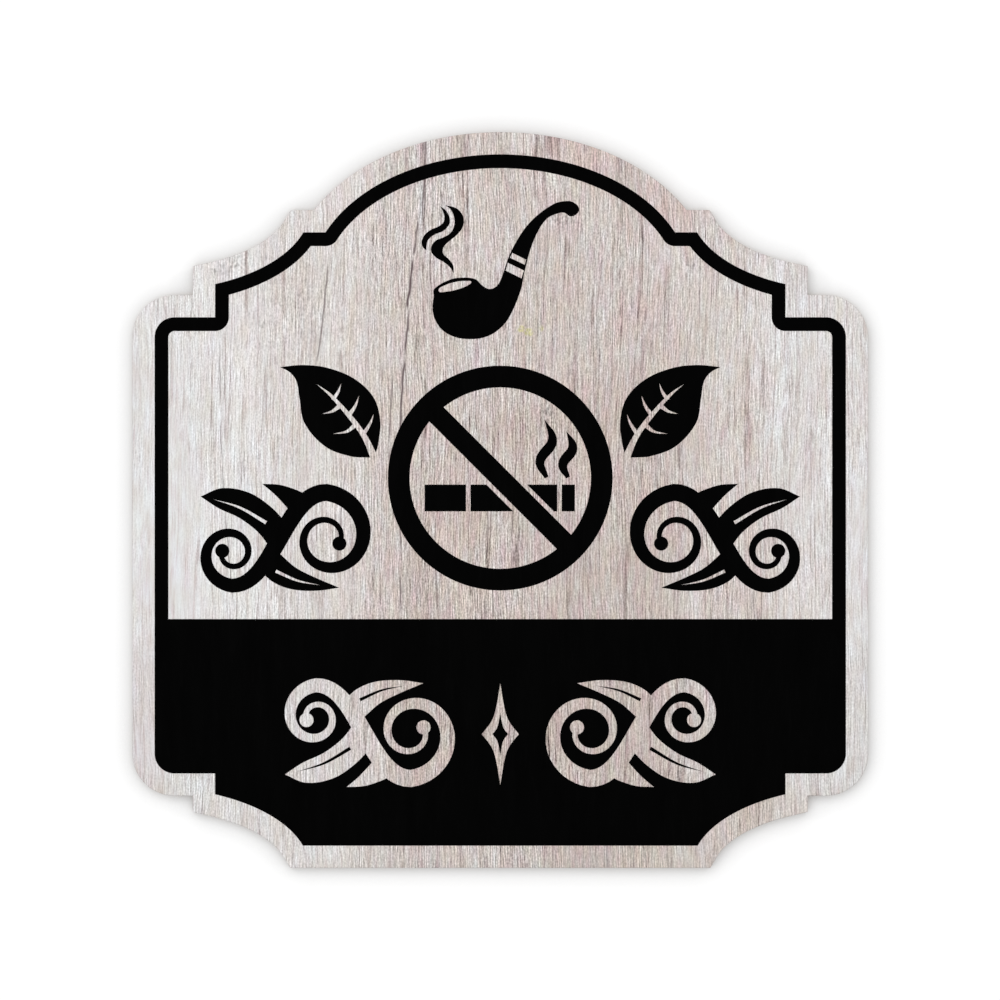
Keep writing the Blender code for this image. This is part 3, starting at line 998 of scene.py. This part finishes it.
print(len(KNOTS), "knots,", len(MOTTLED), "dotted places and", len(LICHEN_FLECKS), "flecks")

# %% [markdown]
# ## Soft patches
#
# A real board is never the same all over. Here it is a little rosier, there more yellow, paler, or livelier
# in its grain. The patches are wide and faint, so none of them is seen by itself, but without them the
# board looks printed. They are soft spots too, as x, z, half width, half height and strength, and those
# below zero take away.

# %% Patches of colour, tone and contrast
ROSY_PATCHES = (
    (-69, 112, 14, 12, 0.12), (31, 139, 15, 10, 0.3), (69, 117, 16, 13, 0.22),
    (-86, 66, 32, 40, 0.09), (-140, -86, 12, 46, 0.15), (24, 84, 9, 13, 0.12),
    (53, 76, 8, 16, 0.12), (100, -130, 30, 20, 0.12), (135, -10, 20, 80, 0.05),
    (10, -146, 40, 12, -0.1), (5, 0, 36, 70, -0.05),
)
BEIGE_PATCHES = (
    (-68, 60, 30, 60, 0.09), (-64, -30, 14, 50, 0.08), (18, 80, 18, 30, 0.07),
    (88, 50, 12, 70, 0.08), (60, -146, 24, 12, 0.2), (108, -130, 24, 18, 0.15),
    (-60, -146, 24, 12, 0.12), (-138, -20, 26, 90, -0.06), (148, -10, 12, 60, -0.08),
    (15, -10, 36, 34, -0.05),
)
PALE_PATCHES = (
    (-30, 142, 10, 9, 0.3), (9, 146, 10, 9, 0.5), (-25, 115, 9, 22, 0.42),
    (2, 88, 10, 12, 0.14), (-10, 48, 11, 30, 0.26), (16, 130, 12, 9, 0.18),
    (109, 66, 12, 40, 0.14), (-141, 4, 20, 24, 0.14), (-28, 28, 8, 24, 0.12),
    (69, 66, 13, 26, -0.2), (104, -35, 13, 30, -0.24), (-74, 86, 24, 12, -0.16),
    (-70, -40, 10, 24, -0.13), (32, 36, 16, 14, -0.14), (110, -128, 24, 14, -0.2),
    (-108, -128, 14, 12, -0.2), (132, -48, 10, 20, -0.11), (-70, 55, 9, 10, 0.24),
    (-88, -40, 10, 16, 0.14), (147, 0, 9, 56, 0.14), (-66, -2, 16, 12, 0.14),
    (130, 20, 9, 18, 0.2), (104, 94, 16, 12, 0.14), (49, 48, 9, 10, -0.2),
    (10, 29, 10, 10, -0.22), (-12, -10, 9, 10, -0.23), (6, -52, 12, 10, -0.18),
    (68, 110, 9, 9, -0.15), (28, -142, 14, 8, -0.12),
)
LIVELY_PATCHES = (
    (-148, -30, 32, 110, -0.26), (150, -20, 13, 110, -0.22), (44, -38, 30, 50, -0.26),
    (56, -146, 44, 16, -0.28), (-36, 112, 26, 26, 0.2), (-130, -14, 13, 84, -0.16),
    (-76, 56, 15, 17, -0.16), (60, 90, 17, 13, -0.16), (66, 18, 20, 12, -0.12),
    (55, -93, 40, 14, -0.2),
)
print(len(ROSY_PATCHES + BEIGE_PATCHES + PALE_PATCHES + LIVELY_PATCHES), "soft patches")

# %% [markdown]
# ## The whole wood finish
#
# The marks darken the tone, and a cracked line takes a colour of its own. The wash is never quite even, so
# faint rosy and beige streaks show through it, more of them where the wood is darker. A fine noise along
# the grain feeds a faint bump. The wash wraps round the front and the edges and stops in an uneven line
# before the back, which nobody paints: there the bare wood shows.

# %% Colours and strengths of the wood finish
FRESH_WOOD = seen(201, 170, 133)
DARK_GRAIN = seen(166, 128, 92)
ROSY = seen(205, 173, 172)
BEIGE = seen(206, 197, 173)
CRACKED = seen(112, 98, 99)
LICHEN = seen(214, 212, 120)

# Streaks of a tint: width and length in millimetres, detail and shift of the noise, strength where the wood
# is pale, and what the darker tone adds to it. The first row follows the bends of the grain.
ROSY_STREAKS = ((2.2, 8.0, 0.0, 41.0, 0.35, 0.55), (6.0, 20.0, 1.0, 43.0, 0.40, 0.30))
BEIGE_STREAKS = ((2.6, 8.0, 0.0, 57.0, 0.45, 0.25), (7.0, 22.0, 1.0, 59.0, 0.50, 0.0))
ROSY_LINES = 0.6
ROSY_SHADE_RISE, ROSY_SHADE = (0.02, 0.30), 0.08
BEIGE_EVERYWHERE = 0.045

PALE_CONTRAST = 0.59  # strength of the grain where the wood is pale
SHADE_CONTRAST = 0.47  # what the darker tone adds to it
UNEVEN_CONTRAST = 0.7  # how much it comes and goes
GRAIN_IN_TONE = 0.4  # how much a dark streak shows of the darker tone
DARKER_LOWER_PART = ((-48.0, -68.0, 0.05), (-112.0, -134.0, -0.03))
KNOT_DOTS = 5.0
LICHEN_COVER, LICHEN_DOTS = 0.9, 3.0

BARE_TONE, BARE_GRAIN, BARE_CRACKS = 0.5, 1.6, 0.6
WASH_END = 1.0 * MM  # how far before the back the wash ends, how far its end wanders and how soft it is
WASH_END_WANDER = 1.2 * MM
WASH_END_SOFTNESS = 0.3 * MM

WOOD_ROUGHNESS, GRAIN_ROUGHNESS, MARK_ROUGHNESS = 0.72, 0.3, 0.2
WOOD_SHINE = 0.12
WOOD_BUMP = 0.25


# %% Build the wood finish
def tinted_streaks(finish, places, shade, table):
    """Faint streaks of a tint, with one row of the table for each of the places."""
    total = 0.0
    for place, (width, length, detail, shift, strength, in_shade) in zip(places, table):
        total = noise(finish, place, width, length, detail, shift) * (shade * in_shade + strength) + total
    return total


def wood_finish():
    """Whitewashed wood on the front and the edges, bare wood on the back."""
    finish = Finish(bpy.data.materials.new("whitewashed_wood"))
    x, y, z = place = finish.place()
    bent_place = along_the_grain(finish, place)
    shade = wash_shade(x, z)
    uneven = noise(finish, place, width=14.0, length=24.0, detail=1.0, shift=83.0) * UNEVEN_CONTRAST
    contrast = shade * SHADE_CONTRAST + PALE_CONTRAST + uneven + spots(x, z, LIVELY_PATCHES)

    lines = ring_lines(finish, bent_place)
    grain = (streaks(finish, bent_place) - lines + LINES_MEAN) * contrast
    split = cracks(finish, place)
    dots = noise(finish, place, width=0.9, length=1.3, shift=11.0)
    knotted = spots(x, z, KNOTS) * (dots * KNOT_DOTS + 1.0)
    marks = knotted + spots(x, z, MOTTLED) * dots + rises(z, DARKER_LOWER_PART)

    both_places = (bent_place, place)
    rosy = tinted_streaks(finish, both_places, shade, ROSY_STREAKS) + lines * ROSY_LINES
    rosy = rosy + shade.rising(*ROSY_SHADE_RISE) * ROSY_SHADE + spots(x, z, ROSY_PATCHES)
    beige = tinted_streaks(finish, both_places, shade, BEIGE_STREAKS) + spots(x, z, BEIGE_PATCHES)
    lichen = spots(x, z, LICHEN_FLECKS) * (dots * LICHEN_DOTS + LICHEN_COVER)
    washed = finish.mix(shade - grain * GRAIN_IN_TONE - spots(x, z, PALE_PATCHES), WASHED, SHADED)
    washed = finish.mix(rosy, washed, ROSY)
    washed = finish.mix(beige + BEIGE_EVERYWHERE, washed, BEIGE)
    washed = finish.mix(lichen, washed, LICHEN)
    washed = finish.tint(washed, 1.0 + grain - marks)
    washed = finish.mix(split, washed, CRACKED)

    bare_shade = BARE_TONE - grain * BARE_GRAIN + marks + split * BARE_CRACKS
    bare = finish.mix(bare_shade, FRESH_WOOD, DARK_GRAIN)
    wash_end = noise(finish, place, width=4.0, length=9.0, shift=71.0) * WASH_END_WANDER + WASH_END
    painted = (y + wash_end).rising(BOARD_BACK + WASH_END_SOFTNESS, BOARD_BACK - WASH_END_SOFTNESS)

    relief = noise(finish, place, width=0.9, length=10.0)
    return finish.material(finish.node("BsdfPrincipled", inputs={
        "Base Color": finish.mix(painted, bare, washed),
        "Roughness": WOOD_ROUGHNESS - grain * GRAIN_ROUGHNESS + marks * MARK_ROUGHNESS,
        "Normal": finish.bump(relief, WOOD_BUMP),
        "Specular IOR Level": WOOD_SHINE,
    }))


board.data.materials.append(wood_finish())
print("wood finish has", len(board.data.materials[0].node_tree.nodes), "nodes")

# %% [markdown]
# ## Ink
#
# Matt printing ink is close to a pure black with hardly any shine. It is so thin that it takes on the
# grain below it, so its surface is not quite even: the bump and a little variation in roughness show
# when light grazes it.

# %% Build the ink and print with it
INK_BLACK = seen(1, 1, 1)
INK_WORN = seen(2, 2, 2)
INK_WEAR = (0.05, 0.35)
INK_ROUGHNESS, INK_UNEVENNESS = 0.55, 0.2
INK_SHINE = 0.01
INK_BUMP = 0.2


def ink_finish():
    """Flat black ink that lets the grain's relief through."""
    finish = Finish(bpy.data.materials.new("black_print"))
    place = along_the_grain(finish, finish.place())
    fine = noise(finish, place, width=0.9, length=7.0, shift=31.0)
    broad = noise(finish, place, width=4.0, length=20.0)
    return finish.material(finish.node("BsdfPrincipled", inputs={
        "Base Color": finish.mix(fine.rising(*INK_WEAR), INK_BLACK, INK_WORN),
        "Roughness": INK_ROUGHNESS + broad * INK_UNEVENNESS,
        "Normal": finish.bump(fine, INK_BUMP),
        "Specular IOR Level": INK_SHINE,
    }))


ink = ink_finish()
for film in films:
    film.data.materials.append(ink)
print(len(films), "films of ink")

# %% [markdown]
# ## Fix every piece to the board
#
# The board drawn here stands for the plain one in the frame, and the films lie on it. All of them belong
# to the one body of the sign.

# %% Attach the pieces
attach(board, "root")
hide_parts("sign_board")
for film in films:
    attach(film, "root")

# %% [markdown]
# ## Wall, floor and light
#
# The sign hangs flat on a white wall, which shows only by the soft grey beside the board's edge: partly real
# shadow from the lamps, and partly painted shade where the wall's white glow is dimmed near the board.
# The wall is there for the camera in front of it alone: from behind it is clear, so that the back of the
# sign can be looked at too. A wide lamp above and to the left of the camera and an even grey sky light the
# front so that a colour looks about as it was written. A second lamp lights the back.

# %% Set the stage
WALL_GAP = 0.3 * MM
WALL_REACH = 0.6
FLOOR_REACH = 4.0
FLOOR_DROP = 0.27
BACKDROP_SHADE = seen(180, 180, 180)
WALL_GLOW = 0.62
FLOOR_GLOW = 0.78
# The grey beside the board's edge is partly painted shade: within this reach an ambient occlusion test dims
# the wall's glow.
PAINTED_SHADE_REACH = 11.0 * MM  # how far the grey beside the board's edge spreads
PAINTED_SHADE_SAMPLES = 4


def stage_plane(name, corner, opposite, material):
    """A flat rectangle between two opposite corners, with two of its sides along x."""
    mesh = bpy.data.meshes.new(name)
    way_round = [corner, (opposite[0], *corner[1:]), opposite, (corner[0], *opposite[1:])]
    mesh.from_pydata(way_round, [], [(0, 1, 2, 3)])
    mesh.materials.append(material)
    plane = bpy.data.objects.new(name, mesh)
    bpy.context.scene.collection.objects.link(plane)
    return plane


def backdrop_finish(name, glow_level, painted_shade_reach=0.0, clear_from_behind=False):
    """A pale surface that the camera sees as white wherever no shadow falls on it; given a reach, its glow is
    dimmed near other things as painted shade.
    """
    finish = Finish(bpy.data.materials.new(name))
    glow_and_painted_shade = (glow_level, glow_level, glow_level, 1.0)
    # Painted shade: the glow is dimmed by ambient occlusion where the board stands close.
    if painted_shade_reach:
        inputs = {"Color": glow_and_painted_shade, "Distance": painted_shade_reach}
        glow_and_painted_shade = finish.node("AmbientOcclusion", {"samples": PAINTED_SHADE_SAMPLES}, inputs)
    painted = finish.node("BsdfDiffuse", inputs={"Color": BACKDROP_SHADE})
    lit = finish.node("AddShader", inputs={0: painted, 1: finish.node("Emission", inputs={"Color": glow_and_painted_shade})})
    shown = finish.node("LightPath", output="Is Camera Ray")
    if clear_from_behind:
        shown = shown * (1.0 - finish.node("NewGeometry", output="Backfacing"))
    clear = finish.node("BsdfTransparent")
    return finish.material(finish.node("MixShader", inputs={0: shown, 1: clear, 2: lit}))


wall_y = BOARD_BACK + WALL_GAP
floor_z = low.z - FLOOR_DROP
wall_finish = backdrop_finish("wall_white_painted_shade", WALL_GLOW, PAINTED_SHADE_REACH, clear_from_behind=True)
floor_finish = backdrop_finish("floor_white", FLOOR_GLOW)
stage_plane("wall", (-WALL_REACH, wall_y, floor_z), (WALL_REACH, wall_y, WALL_REACH), wall_finish)
stage_plane("floor", (-FLOOR_REACH, -FLOOR_REACH, floor_z), (FLOOR_REACH, FLOOR_REACH, floor_z), floor_finish)

# %% Hang the lamps
SKY_LEVEL = 0.528


def soft_lamp(name, place, size, power):
    """A square lamp that looks at the middle of the board and doesn't show itself."""
    data = bpy.data.lights.new(name, "AREA")
    data.size = size
    data.energy = power
    lamp = bpy.data.objects.new(name, data)
    lamp.location = place
    lamp.rotation_euler = (-Vector(place)).to_track_quat("-Z", "Y").to_euler()
    lamp.visible_camera = False
    bpy.context.scene.collection.objects.link(lamp)


def even_sky():
    """Grey light from all round, which the camera, reflections and clear pieces see as white."""
    sky = Finish(bpy.data.worlds.new("sky"))
    camera_ray, glossy_ray, clear_ray = (
        sky.node("LightPath", output=f"Is {kind} Ray") for kind in ("Camera", "Glossy", "Transmission")
    )
    white = camera_ray.math("MAXIMUM", glossy_ray).math("MAXIMUM", clear_ray)
    strength = SKY_LEVEL + white * (1.0 - SKY_LEVEL)
    background = sky.node("Background", inputs={"Color": (1.0, 1.0, 1.0, 1.0), "Strength": strength})
    sky.node("OutputWorld", inputs={"Surface": background})
    bpy.context.scene.world = sky.owner


even_sky()
soft_lamp("front_lamp", place=(-0.40, -2.45, 0.45), size=2.2, power=35.0)
soft_lamp("back_lamp", place=(0.80, 2.40, 0.90), size=1.6, power=20.0)

# %% [markdown]
# ## The camera
#
# The photograph looks straight at the sign with no visible perspective, so the camera stands well back
# with a long lens. Its distance follows from the width that the picture takes in at the front face.

# %% Place the camera
PICTURE_WIDTH = 396.8 * MM
BOARD_RIGHT_OF_MIDDLE = 0.10 * MM
SENSOR_WIDTH = 36.0
LENS = 200.0

camera_data = bpy.data.cameras.new("camera")
camera_data.sensor_width = SENSOR_WIDTH
camera_data.lens = LENS
camera = bpy.data.objects.new("camera", camera_data)
distance = PICTURE_WIDTH * LENS / SENSOR_WIDTH
camera.location = (-BOARD_RIGHT_OF_MIDDLE, INK_FRONT - distance, 0.0)
camera.rotation_euler = (math.radians(90.0), 0.0, 0.0)
bpy.context.scene.collection.objects.link(camera)
bpy.context.scene.camera = camera
bpy.context.scene.view_settings.view_transform = "Standard"
print(f"camera {distance:.2f} m in front of the sign")
